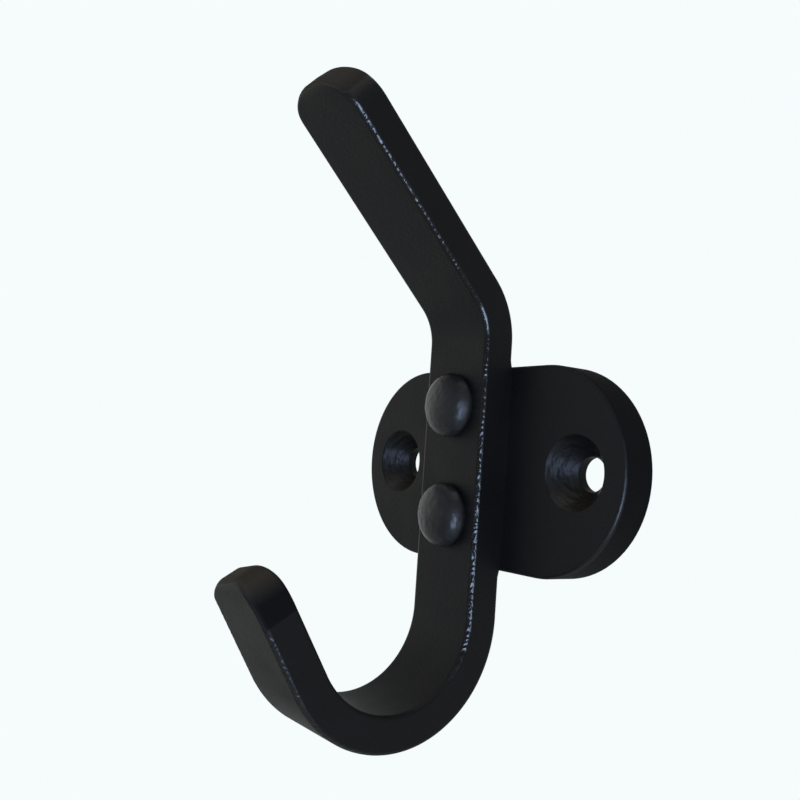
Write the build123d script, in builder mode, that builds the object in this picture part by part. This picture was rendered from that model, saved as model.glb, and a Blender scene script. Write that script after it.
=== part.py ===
from build123d import *
from math import radians, tan
import os

# Double clothes hook: a bent flat bar riveted to an oblong wall plate.
# X runs along the plate, Y into the wall and Z up. The origin is the middle of the plate's back face.
# All lengths are in millimetres and all angles in degrees.

# Flat bar
bar_width = 15.0
bar_thickness = 6.0
bar_arris_radius = 0.8
end_flat_width = 4.0

# Upper arm, bent out from the upright part of the bar
upper_bend_height = 20.75
upper_bend_radius = 8.5
arm_lean = 45.5
arm_length = 42.0

# Lower hook, curled up to a leaning tip
lower_bend_depth = 24.75
lower_bend_radius = 14.0
tip_lean = 31.0
tip_length = 18.0

# Wall plate
plate_length = 64.0
plate_height = 34.0
plate_thickness = 6.0
plate_front_arris_radius = 0.8
plate_back_arris_radius = 0.4

# Countersunk screw holes, level with the plate's middle
screw_spacing = 44.0
screw_hole_radius = 2.75
countersink_radius = 6.0
countersink_angle = 75.0
countersink_rim_radius = 0.25

# Rivets, one above the other, with a round head on the bar and a flush tail in the plate's back
rivet_spacing = 18.5
rivet_rise = 0.75
rivet_shank_radius = 3.0
rivet_hole_clearance = 0.05
rivet_head_radius = 5.5
rivet_head_height = 3.9
rivet_lip_height = 0.5
rivet_tail_radius = 4.5
rivet_tail_angle = 90.0

# Planes that the pieces share, each facing away from the wall
wall_plane = Plane.XZ
plate_front_plane = Plane.XZ.offset(plate_thickness)
bar_front_plane = Plane.XZ.offset(plate_thickness + bar_thickness)

end_corner_radius = (bar_width - end_flat_width) / 2
plate_front_y = plate_front_plane.origin.Y
bar_front_y = bar_front_plane.origin.Y
rivet_hole_radius = rivet_shank_radius + rivet_hole_clearance
rivet_tail_depth = (rivet_tail_radius - rivet_shank_radius) / tan(radians(rivet_tail_angle / 2))
rivet_heights = [rivet_rise - rivet_spacing / 2, rivet_rise + rivet_spacing / 2]

# Flat bar bent in the plane seen from the side, with the corners of both ends rounded
with BuildPart() as hook_bar:
    with BuildSketch(Plane.YZ):
        with BuildLine():
            arm_ends = []
            tip_ends = []
            for face_y, inset in ((plate_front_y, bar_thickness), (bar_front_y, 0)):
                upright = Line((face_y, -lower_bend_depth), (face_y, upper_bend_height))
                upper_bend = JernArc(upright @ 1, (0, 1), upper_bend_radius + inset, arm_lean)
                arm = Line(upper_bend @ 1, upper_bend @ 1 + upper_bend % 1 * arm_length)
                lower_bend = JernArc(upright @ 0, (0, -1), lower_bend_radius + inset, tip_lean - 180)
                tip = Line(lower_bend @ 1, lower_bend @ 1 + lower_bend % 1 * tip_length)
                arm_ends.append(arm @ 1)
                tip_ends.append(tip @ 1)
            Line(*arm_ends)
            Line(*tip_ends)
        make_face()
    extrude(amount=bar_width / 2, both=True)

    end_faces = ShapeList(
        hook_bar.faces().sort_by_distance(Plane.YZ.from_local_coords(sum(ends, Vector()) / 2))[0]
        for ends in (arm_ends, tip_ends)
    )
    fillet(end_faces.edges().filter_by(Axis.X, reverse=True), end_corner_radius)

    # Each broad face has a smooth outline, so a rounding begun on its upright edges runs all the way round
    fillet(hook_bar.edges().filter_by(Axis.Z), bar_arris_radius)

    with Locations(bar_front_plane):
        with Locations(*[(0, height) for height in rivet_heights]):
            Hole(rivet_hole_radius, depth=bar_thickness)

# Wall plate with its screw holes sunk from the front and its rivet holes sunk from the back
with BuildPart() as back_plate:
    with BuildSketch(wall_plane):
        SlotOverall(plate_length, plate_height)
    extrude(amount=plate_thickness)
    fillet(back_plate.faces().sort_by(Axis.Y)[0].edges(), plate_front_arris_radius)
    fillet(back_plate.faces().sort_by(Axis.Y)[-1].edges(), plate_back_arris_radius)

    with Locations(plate_front_plane):
        with GridLocations(screw_spacing, 0, 2, 1):
            CounterSinkHole(screw_hole_radius, countersink_radius, counter_sink_angle=countersink_angle)
    front_circles = back_plate.faces().sort_by(Axis.Y)[0].edges().filter_by(GeomType.CIRCLE)
    fillet(front_circles.group_by(SortBy.RADIUS)[0], countersink_rim_radius)

    with Locations(-wall_plane):
        with Locations(*[(0, -height) for height in rivet_heights]):
            CounterSinkHole(rivet_hole_radius, rivet_tail_radius, counter_sink_angle=rivet_tail_angle)

# Rivets turned about their own axis: round head on the bar, shank through both pieces, tail sunk in the plate
with BuildPart() as rivets:
    for height in rivet_heights:
        with BuildSketch(Plane.XY.offset(height)):
            with BuildLine():
                dome_top = (0, bar_front_y - rivet_head_height)
                lip_top = (rivet_head_radius, bar_front_y - rivet_lip_height)
                TangentArc(dome_top, lip_top, tangent=(1, 0))
                Polyline(
                    lip_top,
                    (rivet_head_radius, bar_front_y),
                    (rivet_shank_radius, bar_front_y),
                    (rivet_shank_radius, -rivet_tail_depth),
                    (rivet_tail_radius, 0),
                    (0, 0),
                    dome_top,
                )
            make_face()
        revolve(axis=Axis((0, 0, height), (0, 1, 0)))

hook_bar.part.label = "hook_bar"
back_plate.part.label = "back_plate"
rivets.part.label = "rivets"

os.makedirs("parts", exist_ok=True)
export_step(hook_bar.part, "parts/hook_bar.step")
export_step(back_plate.part, "parts/back_plate.step")
export_step(rivets.part, "parts/rivets.step")
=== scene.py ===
from math import atan2, cos, pi, radians, sin, sqrt, tan

import bmesh
import bpy
from mathutils import Matrix, Vector, noise


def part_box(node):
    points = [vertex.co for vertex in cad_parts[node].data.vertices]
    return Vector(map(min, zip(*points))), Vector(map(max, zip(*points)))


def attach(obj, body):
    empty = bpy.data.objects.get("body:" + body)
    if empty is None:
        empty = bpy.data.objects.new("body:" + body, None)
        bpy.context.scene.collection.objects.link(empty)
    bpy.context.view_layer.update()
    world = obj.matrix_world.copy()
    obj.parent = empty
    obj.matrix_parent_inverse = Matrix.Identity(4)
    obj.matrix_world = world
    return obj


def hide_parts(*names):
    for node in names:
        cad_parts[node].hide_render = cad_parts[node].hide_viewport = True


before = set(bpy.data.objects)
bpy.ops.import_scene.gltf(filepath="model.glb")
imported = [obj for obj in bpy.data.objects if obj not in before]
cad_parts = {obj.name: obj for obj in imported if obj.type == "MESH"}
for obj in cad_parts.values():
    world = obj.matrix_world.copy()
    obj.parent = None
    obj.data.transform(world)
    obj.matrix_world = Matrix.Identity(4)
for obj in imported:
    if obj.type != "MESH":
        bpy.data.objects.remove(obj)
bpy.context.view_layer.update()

# Clothes hook: a flat bar, bent into an upper arm and a lower hook, riveted to an oblong wall plate.
# X runs along the plate, Y into the wall and Z up.
# Lengths are in metres, and MM writes them in millimetres.
MM = 0.001
X_AXIS = Vector((1, 0, 0))
Y_AXIS = Vector((0, 1, 0))
Z_AXIS = Vector((0, 0, 1))

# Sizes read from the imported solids
bar_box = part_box("hook_bar")
plate_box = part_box("back_plate")
rivet_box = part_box("rivets")
BAR_WIDTH = bar_box[1].x - bar_box[0].x
PLATE_LENGTH = plate_box[1].x - plate_box[0].x
PLATE_HEIGHT = plate_box[1].z - plate_box[0].z
PLATE_FRONT = plate_box[0].y
PLATE_BACK = plate_box[1].y
RIVET_HEAD_RADIUS = (rivet_box[1].x - rivet_box[0].x) / 2
RIVET_CROWN = rivet_box[0].y
RIVET_HEIGHTS = (rivet_box[0].z + RIVET_HEAD_RADIUS, rivet_box[1].z - RIVET_HEAD_RADIUS)

# Flat bar and its bends
BAR_THICKNESS = 6.0 * MM
BAR_ARRIS = 0.8 * MM
ARM_CORNERS = (4.6 * MM, 7.4 * MM)
TIP_CORNERS = (4.0 * MM, 6.0 * MM)
TIP_SLANT = 1.7 * MM
END_ROUNDING = 3.5 * MM
END_THINNING = 0.9 * MM
END_STEPS = 26
UPPER_BEND_HEIGHT = 20.75 * MM
UPPER_BEND_RADIUS = 8.5 * MM
UPPER_BEND_TURN = radians(45.5)
ARM_LENGTH = 42.0 * MM
LOWER_BEND_DEPTH = 24.74 * MM
LOWER_BEND_RADIUS = 14.0 * MM
LOWER_BEND_TURN = radians(149.0)
TIP_LENGTH = 18.35 * MM
BAR_FRONT = PLATE_FRONT - BAR_THICKNESS
LOWER_CENTRE = Vector((0, BAR_FRONT - LOWER_BEND_RADIUS, -LOWER_BEND_DEPTH))
UPPER_CENTRE = Vector((0, BAR_FRONT - UPPER_BEND_RADIUS, UPPER_BEND_HEIGHT))
TO_TIP = Matrix.Rotation(-LOWER_BEND_TURN, 3, "X")
TO_ARM = Matrix.Rotation(UPPER_BEND_TURN, 3, "X")
TIP_WAY = TO_TIP @ -Z_AXIS
ARM_WAY = TO_ARM @ Z_AXIS

# Wall plate and its holes
PLATE_FRONT_ARRIS = 0.6 * MM
PLATE_BACK_ARRIS = 0.4 * MM
SCREW_SPACING = 44.0 * MM
SCREW_HOLE_RADIUS = 2.75 * MM
COUNTERSINK_RADIUS = 6.0 * MM
COUNTERSINK_ANGLE = radians(75.0)
COUNTERSINK_RIM = 0.12 * MM
COUNTERSINK_STEPS = 32
CHATTER_DEPTH = 0.22 * MM
CHATTER_WIDTH = 0.6 * MM
CHATTER_LENGTH = 2.4 * MM
CHATTER_REACH = (0.03, 0.99)
CHATTER_NOISE = (0.7, 2.0, 2)

# Rivets
RIVET_SHANK_RADIUS = 3.0 * MM
RIVET_HOLE_RADIUS = 3.05 * MM
RIVET_CROWN_RADIUS = 9.0 * MM
RIVET_CROWN_TURN = radians(25.0)
RIVET_SHOULDER_TURN = radians(75.0)
RIVET_UNDERCUT = 0.6 * MM
RIVET_TAIL_RADIUS = 4.5 * MM
RIVET_DENT = 0.11 * MM
RIVET_DENT_SIZE = 1.1 * MM
RIVET_DENT_NOISE = (0.8, 2.0, 2)

# Rough arrises of the bar: small dents in a row, deepest where the arris faces the front right.
# Stretches are given by how far along the bar they lie from the plate's middle, and their half length.
# Wear and sheen are levels at distances along the bar, from the lower hook's tip up to the arm's end.
ARRIS_FLAT = 0.10 * MM
DENT_DEPTH = 0.14 * MM
DENT_SPACING = 1.15 * MM
DENT_DRIFT = 2.5 * MM
DENT_WANDER = 1.5
DENT_EVENNESS = (0.7, 0.6)
UNEVEN_RATE = 1.7
ROUGH_SIDE = Vector((0.62, -0.76, -0.20))
ROUGH_ALL_ROUND = 0.12
SMOOTH_STRETCHES = ((24.0 * MM, 5.0 * MM), (64.0 * MM, 2.5 * MM))
ARRIS_WEAR = (
    (-80 * MM, 0.8), (-50 * MM, 0.8), (-46 * MM, 0.3), (-36 * MM, 0.3), (-30 * MM, 1.0), (-10 * MM, 1.0),
    (0, 0.8), (27 * MM, 0.8), (31 * MM, 0.35), (50 * MM, 0.45), (66 * MM, 0.75),
)
ARRIS_SHEEN = (
    (-73 * MM, 0), (-72 * MM, 0.55), (-52 * MM, 0.4), (-48 * MM, 0.2), (-36 * MM, 0.2),
    (-30 * MM, 1.0), (27 * MM, 1.0), (31 * MM, 0.95), (66 * MM, 0.95),
)
JOINT_HEIGHT = 36.0 * MM
JOINT_FADE = 2.0 * MM

# Where the paint is dull, dusty or worn: the bar's ends, the inside of the lower bend, and the plate's
# outer wall and lower right rim. The countersinks are glossier, and lighter and browner in their lower
# halves
ARM_MATT_REACH = 4.0 * MM
TIP_MATT_REACH = 7.0 * MM
MATT_FADE = 1.0 * MM
DUST_TURN = 0.3
DULL_BEND = 0.15
DULL_BEND_REACH = 0.9
DULL_FADE = 6.0 * MM
WORN_RIM = Vector((0.62, -0.62, -0.48))
WORN_RIM_TURN = 0.65
RIM_SHEEN = 0.5
CONE_SHEEN = 0.25
CONE_LOWER_TINT = 0.55

# Black paint. A face takes the matt or the worn paint where its corners are that matt or worn
# on average.
MATT_SHARE = 0.5
WORN_SHARE = 0.3
PAINT_DARK = (0.0015, 0.0015, 0.0015, 1)
PAINT_LIGHT = (0.0035, 0.0035, 0.0034, 1)
PAINT_ROUGHNESS = (0.52, 0.62)
PAINT_SPECULAR = 0.17
PAINT_GRAIN = 1.0
RIVET_DARK = (0.007, 0.007, 0.007, 1)
RIVET_LIGHT = (0.011, 0.011, 0.011, 1)
RIVET_ROUGHNESS = (0.34, 0.42)
RIVET_SPECULAR = 0.26
RIVET_GRAIN = 0.5
WORN_ROUGHNESS = 0.14
WORN_SPECULAR = 0.28
MATT_ROUGHNESS = 0.85
MATT_SPECULAR = 0.09
FINISHES = (("paint", PAINT_SPECULAR), ("worn", WORN_SPECULAR), ("matt", MATT_SPECULAR))
DUST = (0.025, 0.020, 0.0142, 1)
CLOUD_SCALE = 90
CLOUD_RANGE = (0.3, 0.7)
GRAIN_SCALE = 1600
GRAIN_DEPTH = 0.05 * MM
NOISE_DETAIL = 3

# Fineness of the meshes
STATION = 0.14 * MM
ROUND_STEPS = 96
DOME_STEPS = 16
ARRIS_STEPS = 6
WELD = 0.001 * MM
HOLE_PATCH = 1.3
FLAT_FACING = 0.999
CREASE_ANGLE = radians(40)
OUTLINE_ANGLE = radians(45)

# Camera, as the picture was taken
CAMERA_AZIMUTH = radians(57.65)
CAMERA_ELEVATION = radians(-2.72)
CAMERA_ROLL = radians(4.10)
CAMERA_PLACE = (116.81 * MM, -109.48 * MM, -0.07 * MM)
CAMERA_LENS = 40.0
CAMERA_SENSOR = 36.0
CAMERA_SHIFT = (0.0806, 0.0178)
CAMERA_CLIP = 10 * MM

# Studio. Each light of the room has a colour, and a span over which it comes in as a direction
# turns to it.
PAPER_WHITE = (0.92, 0.973, 0.973, 1)
PAPER_SPAN = (0.70, 0.82)
ROOM_GREY = (0.36, 0.36, 0.36, 1)
CEILING_GREY = (0.28, 0.28, 0.28, 1)
CEILING_SPAN = (0.475, 0.55)
CEILING_LIGHT = (2.2, 2.2, 2.2, 1)
CEILING_LIGHT_SPAN = (0.86, 0.94)
LEFT_GLOW = (1.2, 1.18, 1.14, 1)
LEFT_WAY = Vector((-0.92, -0.38, -0.1))
LEFT_SPAN = (0.5, 0.95)
RIGHT_GLOW = (0.50, 0.47, 0.42, 1)
RIGHT_WAY = Vector((0.84, 0.54, 0.0))
RIGHT_SPAN = (0.3, 0.95)
FLOOR_PALE = (0.62, 0.63, 0.56, 1)
FLOOR_ROUGHNESS = 0.9
FLOOR_HEIGHT = -450 * MM
FLOOR_SIZE = 6.0
FLOOR_FADE = (0.5, 0.8)
WINDOW_PLACE = (0.305, -0.246, -0.125)
WINDOW_SIZE = (0.12, 0.24)
WINDOW_POWER = 2.2
WINDOW_COLOUR = (0.50, 0.66, 1.0)
CAMERA_BACK = Vector((
    sin(CAMERA_AZIMUTH) * cos(CAMERA_ELEVATION),
    -cos(CAMERA_AZIMUTH) * cos(CAMERA_ELEVATION),
    sin(CAMERA_ELEVATION),
))


# Mesh helpers


def only(kind, geometry):
    """The vertices, edges or faces among what an operator gives back."""
    return [g for g in geometry if isinstance(g, kind)]


def choose_paint(bm):
    """Gives plain faces the first paint, worn arrises the second and matt cut edges the third."""
    gloss = bm.verts.layers.float["gloss"]
    matt = bm.verts.layers.float["matt"]
    for face in bm.faces:
        corners = len(face.verts)
        if sum(v[matt] for v in face.verts) > MATT_SHARE * corners:
            face.material_index = 2
        elif sum(v[gloss] for v in face.verts) > WORN_SHARE * corners:
            face.material_index = 1


def finish_mesh(bm, name):
    """Closes the seams, turns the faces outwards and makes the object."""
    bmesh.ops.remove_doubles(bm, verts=bm.verts, dist=WELD)
    bmesh.ops.recalc_face_normals(bm, faces=bm.faces)
    for face in bm.faces:
        face.smooth = True
    for edge in bm.edges:
        edge.smooth = len(edge.link_faces) == 2 and edge.calc_face_angle() < CREASE_ANGLE
    mesh = bpy.data.meshes.new(name)
    bm.to_mesh(mesh)
    bm.free()
    piece = bpy.data.objects.new(name, mesh)
    bpy.context.scene.collection.objects.link(piece)
    weighted = piece.modifiers.new("flats_stay_flat", "WEIGHTED_NORMAL")
    weighted.keep_sharp = True
    return piece


def stand_for(piece, node):
    """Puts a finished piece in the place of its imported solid."""
    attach(piece, "root")
    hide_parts(node)


def whole(face):
    """A face with its edges and vertices."""
    return [face, *face.edges, *face.verts]


def run(bm, face, travel, steps=1):
    """Draws a face on, straight along travel, and returns the new end face."""
    for _ in range(steps):
        made = bmesh.ops.extrude_face_region(bm, geom=whole(face))["geom"]
        bmesh.ops.translate(bm, verts=only(bmesh.types.BMVert, made), vec=travel / steps)
        face = only(bmesh.types.BMFace, made)[0]
    return face


def bend(bm, face, centre, turn, radius):
    """Draws a face on round a bend about an axis along X, and returns the new end face."""
    steps = round(turn * radius / STATION)
    made = bmesh.ops.spin(bm, geom=whole(face), cent=centre, axis=X_AXIS, angle=turn,
                          steps=steps)["geom_last"]
    return only(bmesh.types.BMFace, made)[0]


def inset_of_corner(radius, distance):
    """How far a rounded corner stands in at a distance from the end that it leads to."""
    across = max(radius - distance, 0)
    return radius - sqrt(radius ** 2 - across ** 2)


def round_end(bm, face, way, corners, slant=0):
    """Draws the bar's end on: it narrows to its corners, thins to its rim, and may be cut aslant."""
    length = max(corners)
    middle = face.calc_center_median()
    through = way.cross(X_AXIS)
    for step in range(1, END_STEPS + 1):
        travel = length * sin(pi / 2 * step / END_STEPS)
        distance = length - travel
        thinning = END_THINNING * max(1 - distance / END_ROUNDING, 0) ** 2
        face = run(bm, face, way)
        for vert in face.verts:
            right = vert.co.x > 0
            front = (vert.co - middle).dot(through) > 0
            across = (BAR_WIDTH / 2 - inset_of_corner(corners[right], distance)) * (1 if right else -1)
            half_depth = BAR_THICKNESS / 2 - thinning
            longer = slant * across / (BAR_WIDTH / 2) * travel / length
            vert.co = (middle + way * (travel + longer) + X_AXIS * across
                       + through * half_depth * (1 if front else -1))
    return face


def along_bar(place):
    """How far along the bent bar a place lies: up to the arm above 0, and down to the tip below 0."""
    above = place - UPPER_CENTRE
    below = place - LOWER_CENTRE
    if above.z > 0:
        turn = min(atan2(above.z, above.y), UPPER_BEND_TURN)
        return UPPER_BEND_HEIGHT + UPPER_BEND_RADIUS * turn + max(above.dot(ARM_WAY), 0)
    if below.z < 0 or below.y < 0:
        turn = min(atan2(-below.z, below.y) % (2 * pi), LOWER_BEND_TURN)
        return -LOWER_BEND_DEPTH - LOWER_BEND_RADIUS * turn - max(below.dot(TIP_WAY), 0)
    return place.z


def level_along(levels, along):
    """Level at a distance along the bar, from a list of distances and levels."""
    for (start, low), (end, high) in zip(levels, levels[1:]):
        if along < end:
            return low + (high - low) * max((along - start) / (end - start), 0)
    return levels[-1][1]


def draw_on(bm, vert, places):
    """Draws a line of edges on from a vertex, and returns its vertices."""
    line = [vert]
    for place in places:
        made = bmesh.ops.extrude_vert_indiv(bm, verts=[line[-1]])["verts"][0]
        made.co = place
        line.append(made)
    return line


def turn_round(bm, line, centre):
    """Turns a line of vertices all round an axis along Y."""
    edges = {e for v in line for e in v.link_edges if e.other_vert(v) in line}
    bmesh.ops.spin(bm, geom=[*line, *edges], cent=centre, axis=Y_AXIS, angle=2 * pi, steps=ROUND_STEPS,
                   use_merge=True)


def fill_flat(bm, height_y, facing):
    """Fills the open outlines that lie on one plane across Y, leaving their holes open."""
    edges = [e for e in bm.edges if len(e.link_faces) < 2
             and all(abs(v.co.y - height_y) < WELD for v in e.verts)]
    bmesh.ops.triangle_fill(bm, use_beauty=True, edges=edges, normal=facing)


# Pieces


def make_hook_bar():
    """Flat bar with rounded ends, bent out into the upper arm and round into the lower hook."""
    tip_run = TIP_LENGTH - max(TIP_CORNERS)
    arm_run = ARM_LENGTH - max(ARM_CORNERS)
    upright_run = LOWER_BEND_DEPTH + UPPER_BEND_HEIGHT

    # The bar's section starts in the tip and is drawn through to the arm, and then the ends are drawn on
    bm = bmesh.new()
    section = bmesh.ops.create_grid(bm, x_segments=1, y_segments=1, size=0.5)["verts"]
    bmesh.ops.scale(bm, verts=section, vec=(BAR_WIDTH, BAR_THICKNESS, 1))
    bmesh.ops.translate(bm, verts=section, vec=(0, (PLATE_FRONT + BAR_FRONT) / 2, -LOWER_BEND_DEPTH))
    bmesh.ops.rotate(bm, verts=section, cent=LOWER_CENTRE, matrix=TO_TIP)
    bmesh.ops.translate(bm, verts=section, vec=TIP_WAY * tip_run)
    tip_end = bm.faces[:][0]
    end = run(bm, tip_end, -TIP_WAY * tip_run, round(tip_run / STATION))
    end = bend(bm, end, LOWER_CENTRE, LOWER_BEND_TURN, LOWER_BEND_RADIUS + BAR_THICKNESS)
    end = run(bm, end, Z_AXIS * upright_run, round(upright_run / STATION))
    end = bend(bm, end, UPPER_CENTRE, UPPER_BEND_TURN, UPPER_BEND_RADIUS + BAR_THICKNESS)
    arm_end = run(bm, end, ARM_WAY * arm_run, round(arm_run / STATION))
    tip_end = round_end(bm, tip_end, TIP_WAY, TIP_CORNERS, TIP_SLANT)
    arm_end = round_end(bm, arm_end, ARM_WAY, ARM_CORNERS)
    ends = [(tip_end.calc_center_median(), TIP_WAY, TIP_MATT_REACH),
            (arm_end.calc_center_median(), ARM_WAY, ARM_MATT_REACH)]
    bmesh.ops.recalc_face_normals(bm, faces=bm.faces)

    # A rounded arris along the whole outline of each broad face
    outlines = [e for e in bm.edges if e.calc_face_angle() > OUTLINE_ANGLE]
    rounded = bmesh.ops.bevel(bm, geom=outlines, offset=BAR_ARRIS, offset_type="OFFSET", affect="EDGES",
                              segments=ARRIS_STEPS, profile=0.5, material=-1)["faces"]
    bm.normal_update()
    dull_bar(bm, ends)
    wear_arrises(bm, set(rounded))

    # Rivet holes: a patch of each broad face is cleared, and filled again round the hole
    for height in RIVET_HEIGHTS:
        patch = [f for f in bm.faces if abs(f.normal.y) > FLAT_FACING
                 and abs(f.calc_center_median().z - height) < HOLE_PATCH * RIVET_HOLE_RADIUS]
        bmesh.ops.delete(bm, geom=patch, context="FACES")
        centre = Vector((0, BAR_FRONT, height))
        line = draw_on(bm, bm.verts.new(centre + X_AXIS * RIVET_HOLE_RADIUS),
                       [Vector((RIVET_HOLE_RADIUS, PLATE_FRONT, height))])
        turn_round(bm, line, centre)
        fill_flat(bm, BAR_FRONT, -Y_AXIS)
        fill_flat(bm, PLATE_FRONT, Y_AXIS)
    choose_paint(bm)
    return finish_mesh(bm, "painted_hook_bar")


def dull_bar(bm, ends):
    """Marks the matt, dusty ends of the bar and the slightly duller inside of the lower bend."""
    dust = bm.verts.layers.float.new("dust")
    matt = bm.verts.layers.float.new("matt")
    for vert in bm.verts:
        inward = (LOWER_CENTRE - vert.co).dot(vert.normal)
        if vert.co.z < -LOWER_BEND_DEPTH and inward > DULL_BEND_REACH * LOWER_BEND_RADIUS:
            vert[matt] = DULL_BEND * min((-LOWER_BEND_DEPTH - vert.co.z) / DULL_FADE, 1)
    for end, way, reach in ends:
        for vert in [v for v in bm.verts if (v.co - end).length < BAR_WIDTH]:
            beyond = reach - (end - vert.co).dot(way)
            turned = 1 - vert.normal.dot(way.cross(X_AXIS)) ** 2
            vert[dust] = max(0, min(2 * (vert.normal.dot(way) - DUST_TURN), 1))
            vert[matt] = turned * max(0, min(beyond / MATT_FADE, 1))


def wear_arrises(bm, rounded):
    """Dents the rounded arrises and marks their sheen, and fills the joint with the plate with paint."""
    gloss = bm.verts.layers.float.new("gloss")
    for vert in [v for v in bm.verts if all(f in rounded for f in v.link_faces)]:
        if vert.co.y > PLATE_FRONT - BAR_ARRIS and abs(vert.co.z) < JOINT_HEIGHT / 2:
            centre_y = PLATE_FRONT - BAR_ARRIS
            centre_x = (BAR_WIDTH / 2 - BAR_ARRIS) * (1 if vert.co.x > 0 else -1)
            out = Vector((vert.co.x - centre_x, vert.co.y - centre_y, 0))
            filled = min((JOINT_HEIGHT / 2 - abs(vert.co.z)) / JOINT_FADE, 1)
            vert.co += out * (BAR_ARRIS / max(abs(out.x), abs(out.y)) - 1) * filled
            continue
        along = along_bar(vert.co)
        smooth = max(min(2 - 2 * abs(along - centre) / reach, 1) for centre, reach in SMOOTH_STRETCHES)
        rough = 1 - max(smooth, 0)
        drift = noise.noise(Vector((along / DENT_DRIFT, vert.co.x / DENT_DRIFT, vert.normal.y)))
        dent = 0.5 + 0.5 * sin(2 * pi * (along / DENT_SPACING + DENT_WANDER * drift))
        uneven = DENT_EVENNESS[0] + DENT_EVENNESS[1] * noise.noise(vert.co / DENT_DRIFT * UNEVEN_RATE)
        facing = max(ROUGH_ALL_ROUND, vert.normal.dot(ROUGH_SIDE)) ** 2
        middle = 2 * abs(vert.normal.x) * sqrt(max(1 - vert.normal.x ** 2, 0))
        wear = max(level_along(ARRIS_WEAR, along), smooth)
        depth = ARRIS_FLAT * middle + DENT_DEPTH * dent * uneven * rough
        vert.co -= vert.normal * facing * wear * depth
        vert[gloss] = level_along(ARRIS_SHEEN, along) * min(2 * facing, 1) * middle


def make_back_plate():
    """Oblong wall plate with half-round ends, two countersunk screw holes and two rivet holes."""
    end_radius = PLATE_HEIGHT / 2
    end_x = PLATE_LENGTH / 2 - end_radius
    bm = bmesh.new()
    ends = []
    for side in (1, -1):
        start = bm.verts.new((side * end_x, PLATE_FRONT, side * end_radius))
        last = bmesh.ops.spin(bm, geom=[start], cent=(side * end_x, 0, 0), axis=Y_AXIS, angle=pi,
                              steps=ROUND_STEPS // 2)["geom_last"]
        ends.append((start, only(bmesh.types.BMVert, last)[0]))
    for (_, last), (start, _) in zip(ends, reversed(ends)):
        bm.edges.new((last, start))
    front = bmesh.ops.edgeloop_fill(bm, edges=bm.edges)["faces"][0]
    back = run(bm, front, Y_AXIS * (PLATE_BACK - PLATE_FRONT))
    for face, arris in ((front, PLATE_FRONT_ARRIS), (back, PLATE_BACK_ARRIS)):
        bmesh.ops.bevel(bm, geom=face.edges[:], offset=arris, offset_type="OFFSET", affect="EDGES",
                        segments=ARRIS_STEPS, profile=0.5, material=-1)
    flats = [f for f in bm.faces if len(f.verts) > ROUND_STEPS / 2]
    bm.normal_update()
    matt = bm.verts.layers.float.new("matt")
    gloss = bm.verts.layers.float.new("gloss")
    for vert in bm.verts:
        worn = max(0, min(3 * (vert.normal.dot(WORN_RIM) - WORN_RIM_TURN), 1))
        vert[matt] = (1 - vert.normal.y ** 2) * (1 - worn)
        vert[gloss] = RIM_SHEEN * worn
    bmesh.ops.delete(bm, geom=flats, context="FACES_ONLY")

    # Screw holes: a countersink with the cutter's marks in it, and the hole through to the back
    dust = bm.verts.layers.float.new("dust")
    sink_depth = (COUNTERSINK_RADIUS - SCREW_HOLE_RADIUS) / tan(COUNTERSINK_ANGLE / 2)
    slope = Vector((-tan(COUNTERSINK_ANGLE / 2), 1, 0)).normalized()
    for side in (1, -1):
        axis = Vector((side * SCREW_SPACING / 2, 0, 0))
        rim = axis + Vector((COUNTERSINK_RADIUS, PLATE_FRONT, 0))
        foot = axis + Vector((SCREW_HOLE_RADIUS, PLATE_FRONT + sink_depth, 0))
        cone = [rim + (foot - rim) * step / COUNTERSINK_STEPS
                for step in range(1, COUNTERSINK_STEPS)]
        before = set(bm.verts)
        line = draw_on(bm, bm.verts.new(rim + X_AXIS * COUNTERSINK_RIM),
                       [rim + slope * COUNTERSINK_RIM, *cone, foot,
                        axis + Vector((SCREW_HOLE_RADIUS, PLATE_BACK, 0))])
        turn_round(bm, line, axis)

        # Marks of the cutter: short steps that run round the cone
        for vert in [v for v in bm.verts if v not in before]:
            depth = (vert.co.y - PLATE_FRONT) / sink_depth
            if not CHATTER_REACH[0] < depth < CHATTER_REACH[1]:
                continue
            out = Vector((vert.co.x - axis.x, 0, vert.co.z)).normalized()
            place = out * COUNTERSINK_RADIUS / CHATTER_LENGTH + Y_AXIS * vert.co.y / CHATTER_WIDTH
            mark = 0.5 + 0.5 * noise.fractal(place + axis / MM, *CHATTER_NOISE)
            into = out * slope.y - Y_AXIS * slope.x
            vert.co += into * CHATTER_DEPTH * mark * min(4 * (1 - depth), 1)
            vert[gloss] = CONE_SHEEN
            # The lower half of each cone is tinted lighter and browner, with the colour of the dust on
            # the bar's ends
            vert[dust] = max(-CONE_LOWER_TINT * out.z, 0)

    # Rivet holes, sunk from the back for the tails
    tail_depth = RIVET_TAIL_RADIUS - RIVET_HOLE_RADIUS
    for height in RIVET_HEIGHTS:
        axis = Vector((0, 0, height))
        line = draw_on(bm, bm.verts.new(axis + Vector((RIVET_HOLE_RADIUS, PLATE_FRONT, 0))),
                       [axis + Vector((RIVET_HOLE_RADIUS, PLATE_BACK - tail_depth, 0)),
                        axis + Vector((RIVET_TAIL_RADIUS, PLATE_BACK, 0))])
        turn_round(bm, line, axis)
    fill_flat(bm, PLATE_FRONT, -Y_AXIS)
    fill_flat(bm, PLATE_BACK, Y_AXIS)
    choose_paint(bm)
    return finish_mesh(bm, "painted_back_plate")


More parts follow.
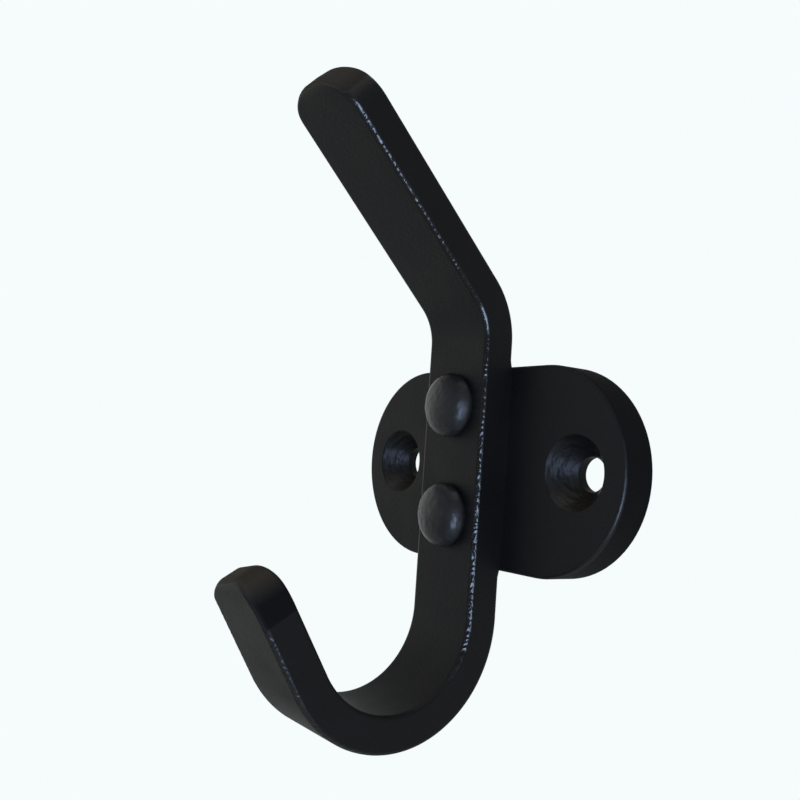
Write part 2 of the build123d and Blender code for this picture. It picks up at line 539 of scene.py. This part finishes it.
def make_rivets():
    """Two rivets with round heads, shanks through both pieces and tails flush with the plate's back."""
    crown_reach = RIVET_CROWN_RADIUS * sin(RIVET_CROWN_TURN)
    shoulder_reach = RIVET_HEAD_RADIUS - crown_reach
    shoulder_radius = shoulder_reach / (sin(RIVET_SHOULDER_TURN) - sin(RIVET_CROWN_TURN))
    tail_depth = RIVET_TAIL_RADIUS - RIVET_SHANK_RADIUS
    bm = bmesh.new()
    for height in RIVET_HEIGHTS:
        axis = Vector((0, 0, height))
        before = set(bm.verts)
        edge = bm.verts.new(axis + Y_AXIS * RIVET_CROWN)
        facing = Y_AXIS.copy()
        for radius, turn in (
            (RIVET_CROWN_RADIUS, RIVET_CROWN_TURN),
            (shoulder_radius, RIVET_SHOULDER_TURN - RIVET_CROWN_TURN),
        ):
            made = bmesh.ops.spin(bm, geom=[edge], cent=edge.co + facing * radius, axis=Z_AXIS,
                                  angle=turn, steps=DOME_STEPS)
            edge = only(bmesh.types.BMVert, made["geom_last"])[0]
            facing = Matrix.Rotation(turn, 3, "Z") @ facing
        dome = [v for v in bm.verts if v not in before]
        lip = BAR_FRONT - edge.co.y
        foot = draw_on(bm, edge, [axis + Vector((radius, depth, 0)) for radius, depth in (
            (RIVET_HEAD_RADIUS - 0.2 * RIVET_UNDERCUT, BAR_FRONT - 0.5 * lip),
            (RIVET_HEAD_RADIUS - RIVET_UNDERCUT, BAR_FRONT),
            (RIVET_SHANK_RADIUS, BAR_FRONT),
            (RIVET_SHANK_RADIUS, PLATE_BACK - tail_depth),
            (RIVET_TAIL_RADIUS, PLATE_BACK),
            (0, PLATE_BACK),
        )])
        turn_round(bm, [*dome, *foot[1:]], axis)
    bmesh.ops.remove_doubles(bm, verts=bm.verts, dist=WELD)
    bmesh.ops.recalc_face_normals(bm, faces=bm.faces)
    bm.normal_update()

    # Shallow hammer dents in the heads
    for vert in bm.verts:
        if vert.co.y < BAR_FRONT - RIVET_UNDERCUT:
            dent = 0.5 + 0.5 * noise.fractal(vert.co / RIVET_DENT_SIZE, *RIVET_DENT_NOISE)
            vert.co -= vert.normal * RIVET_DENT * dent
    return finish_mesh(bm, "painted_rivets")


# Materials


def add_node(tree, kind, inputs=(), **settings):
    """Adds a node, sets its options, and sets or links its inputs."""
    made = tree.nodes.new(kind)
    for name, value in settings.items():
        setattr(made, name, value)
    for socket, value in dict(inputs).items():
        if isinstance(value, bpy.types.NodeSocket):
            tree.links.new(value, made.inputs[socket])
        else:
            made.inputs[socket].default_value = value
    return made


def mix_numbers(tree, factor, start, end):
    """Number that goes from start to end with a factor."""
    return add_node(tree, "ShaderNodeMix", {0: factor, 2: start, 3: end}, data_type="FLOAT").outputs[0]


def mix_colours(tree, factor, start, end):
    """Colour that goes from start to end with a factor."""
    return add_node(tree, "ShaderNodeMix", {0: factor, 6: start, 7: end}, data_type="RGBA").outputs[2]


def black_paint(name, dark, light, roughness, specular, grain):
    """Satin black paint on steel: cloudy, finely grained, glossy where worn, dusty on the bar's cut
    ends, and lighter brown low in the countersinks.
    """
    material = bpy.data.materials.new(name)
    material.use_nodes = True
    tree = material.node_tree
    shader = tree.nodes["Principled BSDF"]
    place = add_node(tree, "ShaderNodeTexCoord").outputs["Object"]
    clouds, fine = (
        add_node(tree, "ShaderNodeTexNoise", {
            "Vector": place, "Scale": scale, "Detail": NOISE_DETAIL,
        }).outputs["Fac"]
        for scale in (CLOUD_SCALE, GRAIN_SCALE)
    )
    gloss, matt, dust = (
        add_node(tree, "ShaderNodeAttribute", attribute_name=layer).outputs["Fac"]
        for layer in ("gloss", "matt", "dust")
    )
    colour = mix_colours(tree, dust, mix_colours(tree, clouds, dark, light), DUST)
    sheen = add_node(tree, "ShaderNodeMapRange", {
        "Value": clouds, "From Min": CLOUD_RANGE[0], "From Max": CLOUD_RANGE[1],
        "To Min": roughness[0], "To Max": roughness[1],
    }).outputs["Result"]
    sheen = mix_numbers(tree, gloss, sheen, WORN_ROUGHNESS)
    sheen = mix_numbers(tree, matt, sheen, MATT_ROUGHNESS)
    bump = add_node(tree, "ShaderNodeBump", {"Height": fine, "Strength": grain, "Distance": GRAIN_DEPTH})
    tree.links.new(colour, shader.inputs["Base Color"])
    tree.links.new(sheen, shader.inputs["Roughness"])
    tree.links.new(bump.outputs["Normal"], shader.inputs["Normal"])
    shader.inputs["Specular IOR Level"].default_value = specular
    return material


hook_bar = make_hook_bar()
back_plate = make_back_plate()
rivets = make_rivets()
stand_for(hook_bar, "hook_bar")
stand_for(back_plate, "back_plate")
stand_for(rivets, "rivets")

for piece, name in ((hook_bar, "bar"), (back_plate, "plate")):
    for finish, specular in FINISHES:
        piece.data.materials.append(black_paint(
            f"{name}_{finish}", PAINT_DARK, PAINT_LIGHT, PAINT_ROUGHNESS, specular, PAINT_GRAIN,
        ))
rivets.data.materials.append(black_paint(
    "rivet_paint", RIVET_DARK, RIVET_LIGHT, RIVET_ROUGHNESS, RIVET_SPECULAR, RIVET_GRAIN,
))


# Studio: floor, window lamp, camera and room


def floor_paper():
    """Pale floor that runs out into the white background behind the hook."""
    material = bpy.data.materials.new("floor_paper")
    material.use_nodes = True
    tree = material.node_tree
    near = tree.nodes["Principled BSDF"]
    near.inputs["Base Color"].default_value = FLOOR_PALE
    near.inputs["Roughness"].default_value = FLOOR_ROUGHNESS
    near.inputs["Specular IOR Level"].default_value = 0
    far = add_node(tree, "ShaderNodeEmission", {"Color": PAPER_WHITE, "Strength": 1})
    place = add_node(tree, "ShaderNodeTexCoord").outputs["Object"]
    behind = add_node(tree, "ShaderNodeVectorMath", {0: place, 1: -CAMERA_BACK}, operation="DOT_PRODUCT")
    fade = add_node(tree, "ShaderNodeMapRange", {
        "Value": behind.outputs["Value"], "From Min": FLOOR_FADE[0], "From Max": FLOOR_FADE[1],
    }, interpolation_type="SMOOTHSTEP").outputs["Result"]
    floor = add_node(tree, "ShaderNodeMixShader", {0: fade, 1: near.outputs["BSDF"], 2: far.outputs[0]})
    tree.links.new(floor.outputs[0], tree.nodes["Material Output"].inputs["Surface"])
    return material


def make_floor():
    """Plain pale floor."""
    bm = bmesh.new()
    bmesh.ops.create_grid(bm, x_segments=1, y_segments=1, size=FLOOR_SIZE / 2,
                          matrix=Matrix.Translation((0, 0, FLOOR_HEIGHT)))
    mesh = bpy.data.meshes.new("floor")
    bm.to_mesh(mesh)
    bm.free()
    floor = bpy.data.objects.new("floor", mesh)
    bpy.context.scene.collection.objects.link(floor)
    mesh.materials.append(floor_paper())


def make_lamp(name, place, size, power, colour):
    """Soft oblong lamp that faces the hook."""
    data = bpy.data.lights.new(name, "AREA")
    data.shape = "RECTANGLE"
    data.size, data.size_y = size
    data.energy = power
    data.color = colour
    lamp = bpy.data.objects.new(name, data)
    facing = Vector(place).to_track_quat("Z", "Y").to_matrix()
    lamp.matrix_world = Matrix.Translation(place) @ facing.to_4x4()
    lamp.visible_camera = False
    bpy.context.scene.collection.objects.link(lamp)


def make_camera():
    """Camera at the picture's viewing angle."""
    data = bpy.data.cameras.new("camera")
    data.sensor_width = CAMERA_SENSOR
    data.lens = CAMERA_LENS
    data.shift_x, data.shift_y = CAMERA_SHIFT
    data.clip_start = CAMERA_CLIP
    camera = bpy.data.objects.new("camera", data)
    right = Vector((cos(CAMERA_AZIMUTH), sin(CAMERA_AZIMUTH), 0))
    level = Matrix((right, CAMERA_BACK.cross(right), CAMERA_BACK)).transposed()
    facing = level @ Matrix.Rotation(CAMERA_ROLL, 3, "Z")
    camera.matrix_world = Matrix.Translation(CAMERA_PLACE) @ facing.to_4x4()
    bpy.context.scene.collection.objects.link(camera)
    bpy.context.scene.camera = camera


def make_world():
    """Grey room with a soft ceiling light, glowing sides and a white background behind the hook."""
    world = bpy.data.worlds.new("studio")
    bpy.context.scene.world = world
    world.use_nodes = True
    tree = world.node_tree
    way = add_node(tree, "ShaderNodeTexCoord").outputs["Generated"]

    def towards(aim, span):
        """Factor that grows from 0 to 1 as a direction turns towards aim."""
        nearness = add_node(tree, "ShaderNodeVectorMath", {0: way, 1: aim}, operation="DOT_PRODUCT")
        return add_node(tree, "ShaderNodeMapRange", {
            "Value": nearness.outputs["Value"], "From Min": span[0], "From Max": span[1],
        }, interpolation_type="SMOOTHSTEP").outputs["Result"]

    colour = ROOM_GREY
    for glow, aim, span in (
        (RIGHT_GLOW, RIGHT_WAY, RIGHT_SPAN),
        (LEFT_GLOW, LEFT_WAY, LEFT_SPAN),
        (PAPER_WHITE, -CAMERA_BACK, PAPER_SPAN),
        (CEILING_GREY, Z_AXIS, CEILING_SPAN),
        (CEILING_LIGHT, Z_AXIS, CEILING_LIGHT_SPAN),
    ):
        colour = mix_colours(tree, towards(aim, span), colour, glow)
    tree.links.new(colour, tree.nodes["Background"].inputs["Color"])


make_floor()
make_world()
make_lamp("window", WINDOW_PLACE, WINDOW_SIZE, WINDOW_POWER, WINDOW_COLOUR)
make_camera()
bpy.context.scene.view_settings.view_transform = "Standard"
